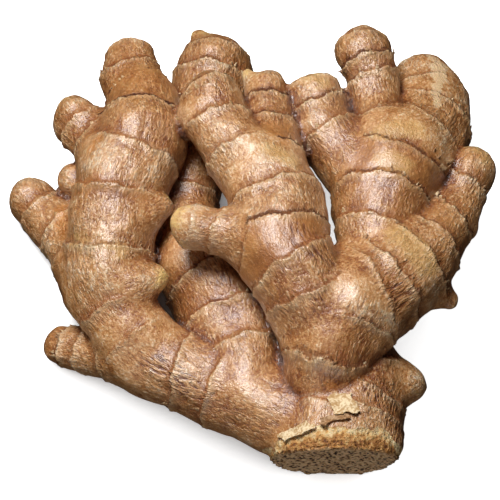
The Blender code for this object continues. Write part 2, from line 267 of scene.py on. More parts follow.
def finger_values(points):
    """Distance from the skin of each finger at each point, and the way it grows fastest."""
    values, ways = {}, {}
    for name, finger in fingers.items():
        reach = finger["radius"].max() + REACH
        near = np.flatnonzero(((points > finger["centre"].min(0) - reach)
                               & (points < finger["centre"].max(0) + reach)).all(1))
        values[name] = np.full(len(points), FAR)
        ways[name] = np.zeros_like(points)
        if len(near):
            offset, along, across, above, radius = on_finger(finger, points[near])
            length = np.linalg.norm(offset, axis=1) + 1e-9
            height = ring_height(finger, along, np.arctan2(across, above))
            values[name][near] = length - radius - height
            ways[name][near] = offset / length[:, None]
    return values, ways


def root_skin(points):
    """Distance from the skin of the whole root at each point, and the way it grows fastest."""
    values, ways = finger_values(points)
    best = np.full(len(points), FAR)
    best_way = np.zeros_like(points)
    for name, finger in fingers.items():
        value, way = values[name], ways[name]
        if finger["parent"]:
            parent = finger["parent"]
            value, way = soft_union(value, way, values[parent], ways[parent], finger["fillet"])
        best, best_way = soft_union(value, way, best, best_way, TOUCH_FILLET)
    return best - lump_height(points), best_way


print("distance of a point 50 mm over the table:", root_skin(np.array([[31.0, -72.5, 50.0]]))[0].round(2))

# %% [markdown]
# ## A fine mesh on that skin
#
# A copy of the solid is welded, because a loaded mesh has loose triangles, and a voxel remesh turns it into
# even little squares, as a sculptor would start. They are just fine enough for the rings and the coarse
# wrinkles; anything finer is left to the material's bump. Points on the flat break and on the table stay
# there, and all the others slide onto the exact skin.

# %% Copy and remesh the solid
FINE = 1.09

solid = frame["nodes"]["ginger_root"]
skin = bpy.data.objects.new("ginger_skin", solid.data.copy())
bpy.context.scene.collection.objects.link(skin)
bpy.context.view_layer.objects.active = skin
skin.select_set(True)
bpy.ops.object.mode_set(mode="EDIT")
bpy.ops.mesh.select_all(action="SELECT")
bpy.ops.mesh.remove_doubles(threshold=0.00001)
bpy.ops.object.mode_set(mode="OBJECT")
skin.data.remesh_voxel_size = FINE * MM
bpy.ops.object.voxel_remesh()
print("fine mesh:", len(skin.data.polygons), "squares")

# %% Draw it onto the skin
def positions(mesh):
    """The mesh's points in layout millimetres."""
    flat = np.empty(len(mesh.vertices) * 3)
    mesh.vertices.foreach_get("co", flat)
    return flat.reshape(-1, 3) / MM + MIDDLE


def place(mesh, points):
    """Put the mesh's points at these layout millimetres."""
    mesh.vertices.foreach_set("co", ((points - MIDDLE) * MM).ravel())
    mesh.update()


def neighbour_mean(mesh):
    """A function that replaces each point's value by the mean of its neighbours'."""
    edges = np.empty(len(mesh.edges) * 2, np.int64)
    mesh.edges.foreach_get("vertices", edges)
    first, second = edges.reshape(-1, 2).T
    total = len(mesh.vertices)
    degree = np.maximum(np.bincount(first, minlength=total) + np.bincount(second, minlength=total), 1)

    def mean(values):
        columns = values.reshape(total, -1).T
        sums = [np.bincount(first, column[second], total) + np.bincount(second, column[first], total)
                for column in columns]
        return (np.array(sums) / degree).T.reshape(values.shape)
    return mean


ON_FACE = 0.35
DRAWINGS, SMOOTHED_DRAWINGS = 6, 3
mean_of = neighbour_mean(skin.data)
points = positions(skin.data)
cut_depth = -(points - CUT_POINT) @ CUT_OUTWARD
inside = root_skin(points)[0] < -1.2 * FINE
on_break = (cut_depth < ON_FACE) & inside
on_table = (points[:, 2] < ON_FACE) & inside & ~on_break
held = on_break | on_table
for drawing in range(DRAWINGS):
    value, way = root_skin(points)
    slope = np.maximum((way ** 2).sum(1) + 1e-6, 0.3)
    move = way * (np.clip(value, -2.0, 2.0) / slope)[:, None]
    points = np.where(held[:, None], points, points - move)
    if drawing < SMOOTHED_DRAWINGS:
        points = np.where(held[:, None], points, points * 0.6 + mean_of(points) * 0.4)
cut_depth = -(points - CUT_POINT) @ CUT_OUTWARD
past = np.minimum(cut_depth, 0.0)
points += past[:, None] * CUT_OUTWARD
points[on_break] += cut_depth[on_break][:, None] * CUT_OUTWARD
points[:, 2] = np.maximum(points[:, 2], 0.0)
place(skin.data, points)
print("points on the break", int(on_break.sum()), "on the table", int(on_table.sum()))

# %% [markdown]
# ## What each point knows
#
# The colours and the fine bump follow the growth of the root: its grain runs along each finger, the skin
# changes tone from ring to ring, bud tips are yellow. A texture in plain object coordinates would ignore all
# of that, so every point gets a few values that the material reads as attributes.

# %% Finger, grain, rings and tone of each point
YELLOW_TIPS = {"centre_stub": 0.8, "bud_stub": 1.0, "right_left": 0.75, "shoot": 0.6, "bud_left": 1.0,
               "bud_back": 0.9, "bud_centre_tip": 0.5, "right_top": 0.45, "nub": 0.5, "knob_right_left": 0.6,
               "back_up": 0.35, "bud_back_up": 0.6, "left_up": 0.4, "centre_back": 0.3, "knob": 0.5,
               "left_side": 0.25, "bump_left": 0.35, "centre_tip": 0.2}
# Rings whose leaf scale left a frayed, cracked edge, by their distance along the finger, from 0 to 1.
FRAYED = {"left": {42: 0.6, 62: 0.4, 80: 0.5, 97: 1.0}, "left_tip": {6: 1.0, 19: 0.6},
          "centre": {12: 0.5, 25: 0.5, 37: 0.9, 51: 0.5}, "centre_tip": {17: 0.5, 32: 0.5, 47: 0.7},
          "centre_back": {3: 1.0, 17: 0.8, 31: 0.9}, "centre_stub": {10: 0.5},
          "right": {29: 0.5, 44: 0.8, 60: 0.8}, "right_top": {15: 0.4, 32: 0.7, 40: 0.9},
          "right_left": {14: 0.4, 27: 0.8}, "right_lump": {10: 0.3, 26: 0.5}, "left_up": {19: 0.5},
          "shoot": {18: 0.5, 30: 0.5, 41: 0.5, 55: 0.8, 73: 0.7}, "left_stub": {11: 0.3, 33: 0.7},
          "back": {29: 0.6, 47: 0.8}, "back_up": {52: 0.5, 67: 0.9, 84: 0.7}, "left_side": {13: 0.4, 30: 0.4},
          "crown": {6: 0.6, 17: 0.6}, "trunk": {31: 0.5, 42: 0.7}, "low_left": {33: 0.4, 50: 0.5}}
FRAYED_ELSEWHERE = 0.2
NO_RING, RING_REACH, FRAY_REACH = 12.0, 2.6, 4
TIP_LENGTH = 7.0
SEAM_WIDTH = 2.5


def tone_of(finger, along):
    """The tone of the skin at each distance along a finger."""
    starts = np.array([start for start, _ in finger["tones"]])
    tones = np.array([tone for _, tone in finger["tones"]])
    return tones[np.clip(np.searchsorted(starts, along, side="right") - 1, 0, None)]


def growth(points):
    """The values of each point that follow from the finger it lies on."""
    values = finger_values(points)[0]
    names = list(fingers)
    table = np.array([values[name] for name in names])
    order = np.argsort(table, axis=0)[:2]
    gap = np.take_along_axis(table, order, 0)
    gap = gap[1] - gap[0]
    total = len(points)
    found = {"grain": np.zeros((total, 3)), "after_ring": np.full(total, NO_RING),
             "before_ring": np.full(total, NO_RING), "tone": np.zeros(total), "tip": np.zeros(total),
             "fray": np.zeros(total)}
    for number, name in enumerate(names):
        finger = fingers[name]
        for rank in (0, 1):
            here = np.flatnonzero(order[rank] == number)
            if not len(here):
                continue
            _, along, across, above, _ = on_finger(finger, points[here])
            share = 0.5 + 0.5 * np.clip(gap[here] / SEAM_WIDTH, 0, 1)
            share = share if rank == 0 else 1 - share
            found["tone"][here] += share * tone_of(finger, along)
            end = finger["along"][-1] + 0.8 * finger["radius"][-1]
            close = np.clip(1 - (end - along) / TIP_LENGTH, 0, 1)
            found["tip"][here] += share * close * YELLOW_TIPS.get(name, 0.1)
            if rank == 0:
                found["grain"][here] = np.stack([across, above, along], 1)
                angle = np.arctan2(across, above)
                for ring in range(len(finger["rings"])):
                    past = along - ring_line(finger, ring, angle)
                    after = np.where(past >= 0, past, NO_RING)
                    before = np.where(past < 0, -past, NO_RING)
                    found["after_ring"][here] = np.minimum(found["after_ring"][here], after)
                    found["before_ring"][here] = np.minimum(found["before_ring"][here], before)
                    frayed = FRAYED.get(name, {}).get(finger["rings"][ring], FRAYED_ELSEWHERE)
                    found["fray"][here[np.abs(past) < FRAY_REACH]] = frayed
    nearest = np.minimum(found["after_ring"], found["before_ring"])
    found["ring_side"] = np.where(found["after_ring"] < found["before_ring"], nearest, -nearest)
    found["ring_near"] = np.clip(1 - nearest / RING_REACH, 0, 1)
    found["seam"] = np.clip(gap / SEAM_WIDTH, 0, 1)
    return found


grown = growth(points)
print("mean tone", grown["tone"].mean().round(3), "points by a ring",
      int((grown["before_ring"] < 1).sum()))

# %% [markdown]
# Some marks belong to no ring. Where a neighbour rubbed or the skin healed there are pale scars, and a few
# amber patches show where it is thin. Golden ones are smooth and yellowish, but the one on top of the right
# finger is partly a painted highlight, and combed ones have parallel ridges. All are laid out as lines with a
# width, and each point remembers how deep it lies inside one.

# %% Scars and patches
SCARS = [((69, 84, 24), (74.5, 80, 26), 2.6), ((73.5, 78, 27.5), (72.0, 70, 31.5), 3.4),
         ((72.0, 67.4, 33.0), (70.0, 60, 37), 2.3), ((70.0, 60, 37), (70.2, 54.0, 40.2), 1.9),
         ((70.3, 35.0, 45.0), (74.4, 38.4, 43.2), 1.0), ((70.8, 41.0, 44.8), (71.0, 44.0, 44.4), 0.7),
         ((-66.0, 61.5, 31.0), (-60.5, 63.0, 32.0), 1.2)]
AMBER = [((26.9, -60.4, 47.3), (29.0, -61.5, 47.0), 1.8), ((-58.9, 31.8, 47.0), (-56.1, 36.8, 46.9), 2.6),
         ((-71.5, 18.9, 23.0), (-69.9, 6.5, 27.3), 3.0), ((8.0, 34.0, 56.0), (13.0, 31.0, 56.0), 3.0)]
GOLDEN_AND_HIGHLIGHT = [((7.2, 25.6, 60.2), (15.1, 21.0, 59.7), 4.0), ((53.5, -6.5, 54.6), (62.2, -16.4, 53.2), 6.0),
          # The second mark on the next line, on top of the right finger, is partly golden skin and partly a
          # painted highlight.
          ((49.1, 24.0, 54.0), (56.0, 21.9, 53.5), 4.5), ((49.0, 37.0, 52.5), (60.0, 38.0, 50.5), 5.0),
          ((22.5, 62.6, 46.3), (27.0, 60.7, 46.6), 3.4),
          ((85.1, 36.6, 37.8), (88.7, 32.7, 37.2), 2.6), ((-46.8, -8.7, 46.7), (-63.7, -1.9, 40.7), 3.5),
          ((-19.7, 98.6, 19.9), (-15.7, 96.3, 22.2), 2.2), ((-2.5, 70.5, 39.5), (0.5, 68.5, 40.5), 2.4),
          ((-28.5, 6.0, 48.0), (-27.0, -0.5, 54.5), 2.4), ((-72.0, 60.0, 31.0), (-69.0, 61.0, 34.0), 1.8)]
# Where the skin is combed into parallel ridges, mostly where a finger bends.
COMBED = [((26.0, -35.0, 61.0), (34.0, -41.0, 60.0), 5.0), ((42.0, -32.0, 60.5), (56.0, -30.0, 51.5), 6.0),
          ((47.0, -38.0, 55.5), (34.0, -36.0, 61.0), 4.0), ((17.5, -11.5, 65.0), (29.9, -19.5, 60.0), 6.0),
          ((-14.6, -10.0, 36.5), (-5.3, -15.7, 45.0), 7.0), ((43.8, -59.5, 43.6), (51.9, -73.6, 36.5), 6.0),
          ((-42.9, -41.3, 36.1), (-17.8, -59.3, 33.3), 5.0)]


def marked(points, marks):
    """How many millimetres each point lies inside the nearest of these marks, below 0 when outside."""
    depth = np.full(len(points), -6.0)
    for start, end, width in marks:
        start, run = np.array(start, float), np.subtract(end, start)
        share = np.clip((points - start) @ run / (run @ run), 0, 1)
        apart = np.linalg.norm(points - start - share[:, None] * run, axis=1)
        depth = np.maximum(depth, width - apart)
    return depth


for name, marks in {"scar": SCARS, "amber": AMBER, "golden": GOLDEN_AND_HIGHLIGHT, "combed": COMBED}.items():
    grown[name] = marked(points, marks)
    print("points in a mark:", name, int((grown[name] > 0).sum()))

# %% [markdown]
# ## Break, frayed edge and relief
#
# Where the root was broken off its mother piece, the thin skin stops a few millimetres short of the break in
# a torn edge, and the bare flesh between is golden and crumbly. The break itself is brown, fibrous and full
# of small holes. All over the root the skin has coarse wrinkles along the grain.
# These are real height, because they show at the outline and in a raking light: each point moves along its
# normal by the sum of a few seeded noises. Doing it in code keeps each noise tied to the grain, which a
# Displace modifier could not.

# %% Height of the fine relief
SKIN_EDGE, SKIN_EDGE_TOP = 3.2, 4.5
FLESH_STEP = 0.45
RIM_WEAR, RIM_DEPTH = 2.4, 6.5
STRAY, STRAY_PASSES = 0.8, 8


def noise_at(places, spread, shift=0.0):
    """Smooth noise from -1 to 1 at each place, with features about this many millimetres wide."""
    scaled = places / np.asarray(spread) + shift
    return np.array([noise.noise(row) for row in scaled.tolist()])


def smooth_step(low, high, value):
    """0 below low, 1 above high and a smooth rise between them."""
    t = np.clip((value - low) / (high - low), 0, 1)
    return t * t * (3 - 2 * t)


cut_depth = -(points - CUT_POINT) @ CUT_OUTWARD
facing_up = smooth_step(-2, 16, points[:, 2] - CUT_POINT[2]) * smooth_step(23, 16, np.abs(points[:, 0] - 31))
torn = SKIN_EDGE + SKIN_EDGE_TOP * facing_up
torn += 1.8 * noise_at(points, 5.0, 3.1) + 0.9 * noise_at(points, 1.9, 7.7)
bare = torn - cut_depth
normals = np.array([vertex.normal for vertex in skin.data.vertices])

grain = grown["grain"]
wrinkle = noise_at(grain, (2.3, 2.3, 8.0), 0.3)
dents = noise_at(points, 5.5, 1.7)
ragged = noise_at(grain, (1.6, 1.6, 2.5), 5.2)
rough = 1 - 0.6 * smooth_step(0.2, 0.9, -grown["tone"])
height = 0.26 * wrinkle * rough * grown["seam"] + 0.30 * dents
height += (0.4 + 0.7 * grown["fray"]) * np.maximum(ragged, -0.3) * np.exp(-(grown["before_ring"] / 0.9) ** 2)
height -= (0.2 + 0.9 * grown["fray"]) * np.exp(-(grown["after_ring"] / 1.0) ** 2) * (0.6 + ragged)
height -= FLESH_STEP * smooth_step(-0.3, 0.6, bare)
crumble = noise_at(points, (3.2, 2.0, 2.0), 9.4) + 0.6 * noise_at(points, 1.6, 2.9)
height += 0.75 * crumble * smooth_step(0.0, 1.0, bare)
height -= RIM_WEAR * np.clip(1 - cut_depth / RIM_DEPTH, 0, 1) ** 2
height[on_break] = 0.0
height[on_table] = 0.0
near_table = smooth_step(0.0, 1.5, points[:, 2])
to_rim = -root_skin(points)[0]
points += normals * (height * near_table)[:, None]

holes = np.abs(noise_at(points, 2.1, 4.4)) + 0.5 * noise_at(points, 1.1, 2.2)
sunk = 0.6 * smooth_step(0.28, 0.0, holes) + 0.45 * np.maximum(0, dents) + 0.9 * smooth_step(3.2, 0.0, to_rim)
points[on_break] -= (CUT_OUTWARD * sunk[:, None])[on_break]
# At the rim a few points land apart from all their neighbours and would stand up as spikes.
for _ in range(STRAY_PASSES):
    centre = mean_of(points)
    stray = np.linalg.norm(points - centre, axis=1) > STRAY
    points[stray] = centre[stray]
    print("stray points drawn in:", int(stray.sum()))
low = np.array(cad_box[0]) / MM + MIDDLE
high = np.array(cad_box[1]) / MM + MIDDLE
points = np.clip(points, low, high)
place(skin.data, points)
print("relief, mm: from", height.min().round(2), "to", height.max().round(2))

# %% Crests and hollows
# How far each point stands over a softened copy of the skin: once a little softened, once a lot. The skin
# colour uses both as painted light on the crests and painted shade in the hollows.
CREST_PASSES, SWELL_PASSES = 10, 30
softened, over = points, []
for passes in (CREST_PASSES, SWELL_PASSES):
    for _ in range(passes):
        softened = mean_of(softened)
    over.append(((points - softened) * normals).sum(1))
crest_shading_fine, crest_shading_broad = over
print("crest, mm:", crest_shading_fine.min().round(2), crest_shading_fine.max().round(2), "swell:", crest_shading_broad.min().round(2))


# %% Store the values on the mesh
def store(mesh, name, values):
    """Keep one number or one vector per point as an attribute that a material can read."""
    kind = "FLOAT_VECTOR" if values.ndim == 2 else "FLOAT"
    attribute = mesh.attributes.new(name, kind, "POINT")
    attribute.data.foreach_set("vector" if values.ndim == 2 else "value", values.astype(np.float32).ravel())


torn_rim = smooth_step(0.6, 2.6, to_rim + 1.2 * noise_at(points, 2.6, 6.1) - 0.8 * facing_up)
core = smooth_step(0.2, 0.8, mean_of(on_break.astype(float))) * torn_rim
for name, values in {**grown, "bare": np.clip(bare, -12, 12), "core": core, "crest_shading_fine": crest_shading_fine,
                     "crest_shading_broad": crest_shading_broad}.items():
    store(skin.data, name, values)
bpy.ops.object.shade_smooth()
skin.select_set(False)
print("attributes:", [attribute.name for attribute in skin.data.attributes])

# %% [markdown]
# ## A material helper
#
# Every material here is built from nodes. One small function adds a node, sets its fields and joins its
# sockets, and one turns the colours, which are written as they look on screen, into linear light.

# %% Nodes and colours
def linear(hexa):
    """A colour like 'be8c5f' as linear red, green, blue and alpha."""
    channels = [int(hexa[i:i + 2], 16) / 255 for i in (0, 2, 4)]
    return tuple(c / 12.92 if c <= 0.04045 else ((c + 0.055) / 1.055) ** 2.4 for c in channels) + (1.0,)


def add(tree, kind, sockets=None, **fields):
    """Add a node, set its fields, and set or join its sockets, which are given by name or number."""
    made = tree.nodes.new("ShaderNode" + kind)
    for field, value in fields.items():
        setattr(made, field, value)
    for socket, value in (sockets or {}).items():
        if isinstance(value, bpy.types.NodeSocket):
            tree.links.new(value, made.inputs[socket])
        else:
            made.inputs[socket].default_value = value
    return made


print("mid brown in linear light:", [round(c, 3) for c in linear("be8c5f")])

# %% [markdown]
# ## Ginger skin
#
# Fresh ginger skin is a paper thin layer of cork over pale flesh: buff brown, satin, a little see-through
# where it is smooth and young, dry and pale where it is old and wrinkled. Its look is made of four things:
# a tone from ring to ring, a mottling at about 13 and 4 mm, a fine grain of ridges about 1 mm apart that runs
# along the finger, and dark lines behind the leaf rings, partly cracks and partly painted shade under the
# lips.
# Over these lie painted light on the crests and painted shade in the hollows and in the grooves of the grain.

# %% Tone and mottling
ginger = bpy.data.materials.new("ginger_skin_dry")
ginger.use_nodes = True
tree = ginger.node_tree
shader = tree.nodes["Principled BSDF"]
coords = add(tree, "TexCoord").outputs["Object"]
value_of = {name: add(tree, "Attribute", attribute_name=name).outputs["Fac"]
            for name in ("after_ring", "before_ring", "ring_side", "ring_near", "fray", "tone", "tip", "seam",
                         "scar", "amber", "golden", "combed", "bare", "core", "crest_shading_fine", "crest_shading_broad")}
grain_of = add(tree, "Attribute", attribute_name="grain").outputs["Vector"]


def spots(size, detail=3.0, rough=0.55, at=coords, stretch=None, shift=(0, 0, 0)):
    """Noise from 0 to 1 with features about this many millimetres wide, in metres or in grain millimetres."""
    unit = 1.0 if stretch else 1 / MM
    scale = [unit / (size * part) for part in (stretch or (1, 1, 1))]
    moved = add(tree, "Mapping", {"Vector": at, "Scale": scale, "Location": shift})
    return add(tree, "TexNoise", {"Vector": moved.outputs[0], "Scale": 1.0, "Detail": detail,
                                  "Roughness": rough}).outputs["Fac"]


def sum_of(*parts):
    """The sum of numbers and of (socket, weight) pairs, as one socket."""
    total = sum(part for part in parts if not isinstance(part, tuple))
    for socket, weight in (part for part in parts if isinstance(part, tuple)):
        total = add(tree, "Math", {0: socket, 1: weight, 2: total}, operation="MULTIPLY_ADD").outputs[0]
    return total


def fade(value, at_zero, at_one):
    """0 where the value is at_zero, 1 where it is at_one, smooth between and level outside."""
    return add(tree, "MapRange", {"Value": value, "From Min": at_zero, "From Max": at_one},
               interpolation_type="SMOOTHSTEP").outputs[0]


def times(a, b):
    """The product of two numbers or sockets."""
    return add(tree, "Math", {0: a, 1: b}, operation="MULTIPLY").outputs[0]


ridges = spots(0.85, 3.0, 0.65, grain_of, (1, 1, 1.9))
combed = spots(0.95, 1.6, 0.5, grain_of, (1, 1, 4.5))
# A net of thin lines, as on leather: high on the lines, low on the plump cells between them.
NET_CELL, NET_LENGTH = 1.7, 1.9
net_at = add(tree, "Mapping", {"Vector": grain_of, "Scale": [1 / NET_CELL, 1 / NET_CELL,
                                                             1 / (NET_CELL * NET_LENGTH)]}).outputs[0]
net = add(tree, "TexNoise", {"Vector": net_at, "Scale": 1.0, "Detail": 2.0, "Roughness": 0.6, "Offset": 1.0,
                             "Gain": 2.0}, noise_type="RIDGED_MULTIFRACTAL").outputs["Fac"]
# Folds are thin wrinkles: 1 along the lines where a stretched noise crosses its middle, 0 elsewhere.
FOLD_WIDTH = 0.022
fold_level = spots(4.2, 3.0, 0.5, grain_of, (1, 1, 2.6))
off_middle = add(tree, "Math", {0: fold_level, 1: 0.5}, operation="SUBTRACT").outputs[0]
folds = fade(add(tree, "Math", {0: off_middle}, operation="ABSOLUTE").outputs[0], FOLD_WIDTH, 0.0)
broad = spots(13.0, 2.0)
middle = spots(4.2, 4.0)
fine = spots(1.0, 3.0, 0.7)
print("nodes so far:", len(tree.nodes))

# %% Colours of the skin
# The two crest terms are painted light on the crests and painted shade in the hollows; the other terms are
# the skin's own tone and mottling.
shade = sum_of(-0.75, (value_of["tone"], 0.19), (broad, 0.52), (middle, 0.52), (ridges, 0.80), (fine, 0.70),
               (value_of["crest_shading_fine"], 0.20), (value_of["crest_shading_broad"], 0.04))
ramp = add(tree, "ValToRGB", {"Fac": shade})
stops = ((0.12, "4c200c"), (0.34, "8a4e24"), (0.52, "b37c48"), (0.70, "cf9e6c"), (0.92, "ead0ae"))
# A new ramp has two stops; the others are added.
for number, (at, colour) in enumerate(stops):
    stop = ramp.color_ramp.elements[number] if number < 2 else ramp.color_ramp.elements.new(at)
    stop.position, stop.color = at, linear(colour)

# Young smooth skin lets the flesh shine through as orange tan.
thinness = sum_of((value_of["tone"], -0.55), (spots(9.0, 2.0, shift=(5, 1, 3)), 1.0))
warmth = times(fade(thinness, 0.5, 0.9), 0.6)
# Dry cork that lifts from the ridges looks like a pale dusting.
dusting = times(fade(sum_of((ridges, 0.7), (fine, 0.3), (value_of["tone"], 0.05)), 0.54, 0.70), 0.42)
# In patches, and towards each ring, the skin is combed into parallel ridges, and the grooves between them get
# painted shade.
near_ring = times(fade(value_of["before_ring"], 7.0, 2.0), fade(spots(7.0, 1.0, shift=(1, 8, 2)), 0.44, 0.60))
patches = fade(sum_of((value_of["combed"], 1.0), (middle, 4.0), -2.0), -1.0, 1.5)
comb_share = add(tree, "Math", {0: times(near_ring, 0.55), 1: patches}, operation="MAXIMUM").outputs[0]
comb_share = times(comb_share, value_of["seam"])
lines = times(fade(net, 0.9, 1.7), value_of["seam"])
# Painted shade in the grooves: the net lines, the folds and the combed grooves, which are also low in the
# bump.
groove_shade = sum_of((lines, 0.30), (times(folds, value_of["seam"]), 0.26),
                 (times(fade(combed, 0.50, 0.36), comb_share), 0.80))
skin_colour = ramp.outputs["Color"]
for share, colour in ((warmth, "b87f48"), (dusting, "ead6b4"), (groove_shade, "683518")):
    skin_colour = add(tree, "Mix", {0: share, 6: skin_colour, 7: linear(colour)}, data_type="RGBA").outputs[2]
print("colour stops:", len(ramp.color_ramp.elements))

# %% Rings, tips and specks
teeth = spots(0.8, 2.0, 0.6, grain_of, (1, 1, 2.0))
side = sum_of((value_of["ring_side"], 1.0), (teeth, 2.4), -1.2)
by_ring = fade(value_of["ring_near"], 0.05, 0.4)
broken = fade(spots(2.6, 2.0, shift=(2, 7, 4)), 0.40, 0.56)
far_side = sum_of((side, 1.0), (value_of["fray"], -0.9))
# Behind each ring lip, where the skin steps down, the skin gets painted shade; the crack there is partly a
# real crack and partly painted shade.
shade_behind_lip = times(times(fade(side, -0.25, 0.0), fade(far_side, 1.1, 0.1)), by_ring)
lip = times(times(fade(side, 0.05, -0.15), fade(side, -1.3, -0.5)), by_ring)
always = fade(value_of["fray"], 0.72, 0.95)
gate = add(tree, "Math", {0: broken, 1: times(always, 0.8)}, operation="MAXIMUM").outputs[0]
crack_and_shade = times(times(shade_behind_lip, gate), sum_of(0.05, (times(value_of["fray"], value_of["fray"]), 0.90)))
pale_bits = fade(spots(3.4, 2.0, shift=(8, 3, 1)), 0.52, 0.64)
lip_share = times(times(lip, pale_bits), sum_of(0.12, (value_of["fray"], 0.6)))
band = times(fade(sum_of((value_of["after_ring"], 1.0), (middle, 4.0), -2.0), 5.0, 0.5), 0.42)
haze = times(fade(sum_of((value_of["before_ring"], 1.0), (middle, 3.0), -1.5), 3.5, 0.5), 0.28)
yellow = times(fade(sum_of((value_of["tip"], 1.0), (middle, 1.8), (fine, 0.6)), 1.65, 2.15), 0.9)
healed = fade(sum_of((value_of["scar"], 1.0), (middle, 5.5), (fine, 1.8), -3.9), -0.2, 0.4)
thin = fade(sum_of((value_of["amber"], 1.0), (middle, 4.0), -2.0), -0.5, 1.5)
# Golden marks; the one on top of the right finger is partly a painted highlight.
golden_and_highlight = fade(sum_of((value_of["golden"], 1.0), (middle, 7.0), -3.5), -1.5, 2.5)
specks = times(fade(spots(1.5, 1.0, 0.5, shift=(9, 9, 1)), 0.74, 0.80), 0.6)
# From the lowest layer to the top one: ring edge, band behind it, haze before it, tips, marks, painted shade
# behind the lip, crack with painted shade, specks.
for share, colour in ((lip_share, "e9d0aa"), (times(band, value_of["seam"]), "93582d"),
                      (times(haze, value_of["seam"]), "dcbc90"), (yellow, "e9c47c"),
                      (times(healed, 0.75), "dfc096"), (times(thin, 0.38), "c27a2e"),
                      (times(golden_and_highlight, 0.45), "d6ad6c"), (times(shade_behind_lip, 0.26), "7c3e16"),
                      (crack_and_shade, "3c1404"), (specks, "6b4028")):
    skin_colour = add(tree, "Mix", {0: share, 6: skin_colour, 7: linear(colour)}, data_type="RGBA").outputs[2]
print("ring nodes added:", len(tree.nodes))

# %% [markdown]
# The break needs its own colours. Just below the torn edge of the skin the flesh is cream, further down it is
# golden and crumbly, and the face itself is grey brown with darker holes between its fibres. They share the
# skin's material, because the real thing has no line between them but the torn edge.

# %% Colours of the break
edge = fade(sum_of((value_of["bare"], 1.0), (fine, 1.6), -0.8), -0.25, 0.25)
low_down = fade(sum_of((value_of["bare"], 1.0), (middle, 3.0), -1.5), 1.0, 4.5)
clods = spots(2.4, 3.0, 0.65, shift=(3, 6, 9))
cells = [add(tree, "TexVoronoi", {"Vector": coords, "Scale": 1 / (width * MM)}) for width in (1.5, 1.7)]
holes_at, pits_at = [cell.outputs["Distance"] for cell in cells]
flesh, face = [add(tree, "ValToRGB", {"Fac": shade})
               for shade in (sum_of((fine, 0.45), (clods, 0.75), (low_down, -0.20)),
                             sum_of((holes_at, 0.7), (fine, 0.6), -0.1))]
flesh_stops = ((0.26, "5d351b"), (0.38, "a87038"), (0.50, "cf9e60"), (0.60, "ddbd88"), (0.74, "ecd6aa"))
face_stops = ((0.20, "3a2212"), (0.38, "a87f56"), (0.64, "dcb78c"))
for ramp, stops in ((flesh, flesh_stops), (face, face_stops)):
    for number, (at, colour) in enumerate(stops):
        stop = ramp.color_ramp.elements[number] if number < 2 else ramp.color_ramp.elements.new(at)
        stop.position, stop.color = at, linear(colour)
pits = times(fade(sum_of((pits_at, 1.0), (fine, 0.5), -0.25), 0.48, 0.26), 0.95)
pitted = add(tree, "Mix", {0: pits, 6: face.outputs["Color"], 7: linear("2c180d")}, data_type="RGBA")
# The flesh lies over the skin past its torn edge, and the face over both.
surface = skin_colour
for share, over in ((edge, flesh.outputs["Color"]), (value_of["core"], pitted.outputs[2])):
    surface = add(tree, "Mix", {0: share, 6: surface, 7: over}, data_type="RGBA").outputs[2]
tree.links.new(surface, shader.inputs["Base Color"])
print("materials' nodes:", len(tree.nodes))

# %% [markdown]
# The waxy cork gives a satin gloss that breaks up on the fine grain. It is made of two layers: under it the
# skin is rougher and its bump goes to 0.42 mm, and the thin coat on top follows it only to 0.14 mm, so that
# the shine stays in long soft streaks. The cracks behind the rings and the break have no coat and are matt.

# %% Gloss and bump
gloss = sum_of(0.22, (middle, 0.16), (fine, 0.10), (value_of["core"], 0.35), (edge, 0.15), (shade_behind_lip, 0.45))
tree.links.new(gloss, shader.inputs["Roughness"])
waxy = add(tree, "Math", {0: edge, 1: value_of["core"]}, operation="MAXIMUM").outputs[0]
dull = add(tree, "Math", {0: waxy, 1: times(shade_behind_lip, 0.9)}, operation="MAXIMUM").outputs[0]
tree.links.new(sum_of(0.95, (dull, -0.95)), shader.inputs["Coat Weight"])
# A little light goes 3 mm deep, red the farthest, and takes the hardness off the shadows.
for socket, value in {"IOR": 1.45, "Specular IOR Level": 0.45, "Coat Roughness": 0.31, "Coat IOR": 1.6,
                      "Subsurface Weight": 0.08, "Subsurface Radius": (1.0, 0.4, 0.15),
                      "Subsurface Scale": 3 * MM}.items():
    shader.inputs[socket].default_value = value

calm = sum_of(0.35, (fade(value_of["tone"], -0.9, 0.0), 0.65))
grain_height = sum_of((ridges, 1.2), (net, -0.40), (folds, -0.35), (times(combed, comb_share), 3.0))
grain_height = times(times(grain_height, calm), value_of["seam"])
leather = sum_of((fine, 1.3), (middle, 0.5), (grain_height, 1.1), (crack_and_shade, -1.2), (times(lip, broken), 0.5))
crumbs = sum_of((fine, 2.5), (holes_at, 1.5))
relief = add(tree, "Mix", {0: edge, 2: leather, 3: crumbs}, data_type="FLOAT").outputs[0]
for socket, depth in (("Normal", 0.42), ("Coat Normal", 0.14)):
    bump = add(tree, "Bump", {"Height": relief, "Strength": 1.0, "Distance": depth * MM})
    tree.links.new(bump.outputs["Normal"], shader.inputs[socket])

skin.data.materials.clear()
skin.data.materials.append(ginger)
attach(skin, "root")
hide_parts("ginger_root")
print("skin:", len(skin.data.polygons), "faces,", len(tree.nodes), "nodes")

# %% [markdown]
# ## Dry bark
#
# Where the skin has come loose it is dry cork, as thin as paper and matt: cream inside, brown where it has
# aged, with faint fibres. The same material serves the big scraps and the small shreds, and a value on every
# point, its age, says how brown it is.

